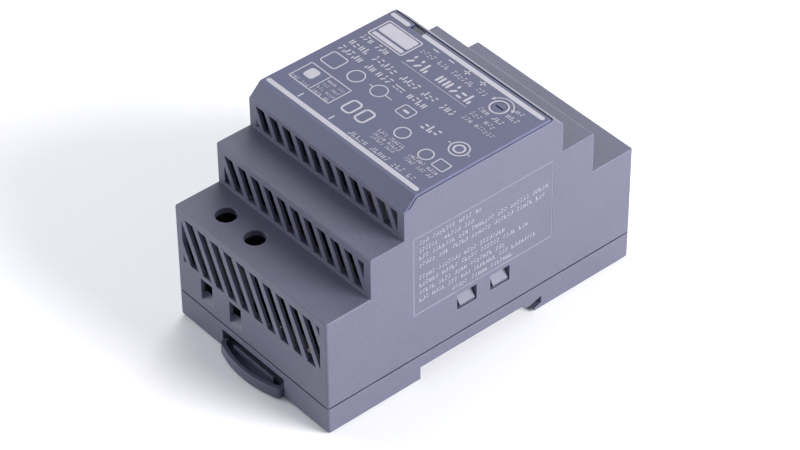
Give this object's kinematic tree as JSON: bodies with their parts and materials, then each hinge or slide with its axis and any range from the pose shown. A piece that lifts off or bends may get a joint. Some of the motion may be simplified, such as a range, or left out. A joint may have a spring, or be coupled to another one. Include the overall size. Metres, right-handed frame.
{
  "type": "DIN rail power supply",
  "caption": "Stepped plastic DIN rail power supply with slanted vent louvres, recessed screw terminals at both ends, a bent front panel and a sprung rail latch.",
  "frame": {"origin": "centre of the plane that the rail's flanges rest against, on the rail's centre line", "axes": "+X across the width, along the rail; +Y from the input end with the latch to the output end; +Z away from the rail, out of the front panel"},
  "size_m": [0.0524, 0.0932, 0.0545],
  "materials": {
    "case_plastic": "fine grained moulding, violet grey",
    "panel_plastic": "fine grained sheet, darker violet grey",
    "latch_plastic": "fine grained moulding",
    "spring_steel": "bright wire",
    "lens_plastic": "smoked clear moulding",
    "terminal_plastic": "glass filled nylon",
    "zinc_steel": "zinc plated",
    "tinned_copper": "tin plated strip",
    "fuse_glass": "clear tube",
    "nickel_caps": "nickel plated cups",
    "thermistor_coat": "dark lacquer",
    "varistor_coat": "blue epoxy",
    "film_case": "yellow moulded case",
    "ferrite": "pressed and fired ferrite",
    "coated_core": "green epoxy coat",
    "copper_wire": "enamelled copper",
    "black_epoxy": "moulded epoxy",
    "can_sleeve": "shrunk sleeve",
    "aluminium": "plain rolled plate",
    "tape_yellow": "polyester tape",
    "former_plastic": "phenolic",
    "board_laminate": "lacquered glass laminate",
    "disc_orange": "orange lacquer",
    "white_epoxy": "white moulded epoxy",
    "light_body": "diffused clear resin",
    "trimmer_blue": "blue moulding"
  },
  "bodies": {
    "housing": {"cover_shell": "case_plastic", "front_panel": "panel_plastic", "base_shell": "case_plastic", "latch_spring": "spring_steel", "indicator_lens": "lens_plastic", "input_terminal_block": "terminal_plastic", "output_terminal_block": "terminal_plastic", "input_contact_bars": "tinned_copper", "output_contact_bars": "tinned_copper", "fuse_tube": "fuse_glass", "fuse_caps": "nickel_caps", "inrush_thermistor": "thermistor_coat", "surge_varistor": "varistor_coat", "line_filter_capacitor": "film_case", "line_choke_core": "coated_core", "line_choke_windings": "copper_wire", "bridge_rectifier": "black_epoxy", "bulk_capacitor": "can_sleeve", "switch_heat_sink": "aluminium", "switching_transistor": "black_epoxy", "rectifier_heat_sink": "aluminium", "output_rectifier": "black_epoxy", "heat_sink_screws": "zinc_steel", "transformer_core": "ferrite", "transformer_winding": "tape_yellow", "transformer_base": "former_plastic", "output_capacitors": "can_sleeve", "output_choke_core": "ferrite", "output_choke_winding": "copper_wire", "safety_capacitor": "disc_orange", "control_board": "board_laminate", "control_header": "former_plastic", "optocoupler": "white_epoxy", "control_chip": "black_epoxy", "status_light": "light_body", "trimmer_body": "trimmer_blue", "main_board": "board_laminate"},
    "latch": {"rail_latch": "latch_plastic"},
    "input_screw_1": {"input_screw_1": "zinc_steel"},
    "input_clamp_1": {"input_clamp_1": "zinc_steel"},
    "input_screw_2": {"input_screw_2": "zinc_steel"},
    "input_clamp_2": {"input_clamp_2": "zinc_steel"},
    "output_screw_1": {"output_screw_1": "zinc_steel"},
    "output_clamp_1": {"output_clamp_1": "zinc_steel"},
    "output_screw_2": {"output_screw_2": "zinc_steel"},
    "output_clamp_2": {"output_clamp_2": "zinc_steel"},
    "output_screw_3": {"output_screw_3": "zinc_steel"},
    "output_clamp_3": {"output_clamp_3": "zinc_steel"},
    "output_screw_4": {"output_screw_4": "zinc_steel"},
    "output_clamp_4": {"output_clamp_4": "zinc_steel"},
    "trimmer": {"trimmer_knob": "panel_plastic"}
  },
  "joints": [
    {"name": "latch_pull", "type": "slide", "parent": "housing", "child": "latch", "axis": [0, -1, 0], "range_m": [0, 0.004], "stiffness_N_per_m": 1500, "springref_m": -0.004, "deforming": ["latch_spring"]},
    {"name": "input_screw_1_turn", "type": "hinge", "parent": "housing", "child": "input_screw_1", "pos_m": [-0.01591, -0.0385, 0.02], "axis": [0, 0, -1], "range_deg": [0, 2160]},
    {"name": "input_clamp_1_rise", "type": "slide", "parent": "housing", "child": "input_clamp_1", "axis": [0, 0, 1], "range_m": [0, 0.003]},
    {"name": "input_screw_2_turn", "type": "hinge", "parent": "housing", "child": "input_screw_2", "pos_m": [-0.00575, -0.0385, 0.02], "axis": [0, 0, -1], "range_deg": [0, 2160]},
    {"name": "input_clamp_2_rise", "type": "slide", "parent": "housing", "child": "input_clamp_2", "axis": [0, 0, 1], "range_m": [0, 0.003]},
    {"name": "output_screw_1_turn", "type": "hinge", "parent": "housing", "child": "output_screw_1", "pos_m": [-0.00812, 0.0385, 0.02], "axis": [0, 0, -1], "range_deg": [0, 2160]},
    {"name": "output_clamp_1_rise", "type": "slide", "parent": "housing", "child": "output_clamp_1", "axis": [0, 0, 1], "range_m": [0, 0.0027]},
    {"name": "output_screw_2_turn", "type": "hinge", "parent": "housing", "child": "output_screw_2", "pos_m": [-0.00304, 0.0385, 0.02], "axis": [0, 0, -1], "range_deg": [0, 2160]},
    {"name": "output_clamp_2_rise", "type": "slide", "parent": "housing", "child": "output_clamp_2", "axis": [0, 0, 1], "range_m": [0, 0.0027]},
    {"name": "output_screw_3_turn", "type": "hinge", "parent": "housing", "child": "output_screw_3", "pos_m": [0.00204, 0.0385, 0.02], "axis": [0, 0, -1], "range_deg": [0, 2160]},
    {"name": "output_clamp_3_rise", "type": "slide", "parent": "housing", "child": "output_clamp_3", "axis": [0, 0, 1], "range_m": [0, 0.0027]},
    {"name": "output_screw_4_turn", "type": "hinge", "parent": "housing", "child": "output_screw_4", "pos_m": [0.00712, 0.0385, 0.02], "axis": [0, 0, -1], "range_deg": [0, 2160]},
    {"name": "output_clamp_4_rise", "type": "slide", "parent": "housing", "child": "output_clamp_4", "axis": [0, 0, 1], "range_m": [0, 0.0027]},
    {"name": "trimmer_turn", "type": "hinge", "parent": "housing", "child": "trimmer", "pos_m": [0.0157, 0.0135, 0.0517], "axis": [0, 0, 1], "range_deg": [-105, 105]}
  ],
  "couplings": [
    {"joint": "input_screw_1_turn", "follows": "input_clamp_1_rise", "rad_per_m": 12566},
    {"joint": "input_screw_2_turn", "follows": "input_clamp_2_rise", "rad_per_m": 12566},
    {"joint": "output_screw_1_turn", "follows": "output_clamp_1_rise", "rad_per_m": 13962},
    {"joint": "output_screw_2_turn", "follows": "output_clamp_2_rise", "rad_per_m": 13962},
    {"joint": "output_screw_3_turn", "follows": "output_clamp_3_rise", "rad_per_m": 13962},
    {"joint": "output_screw_4_turn", "follows": "output_clamp_4_rise", "rad_per_m": 13962}
  ]
}
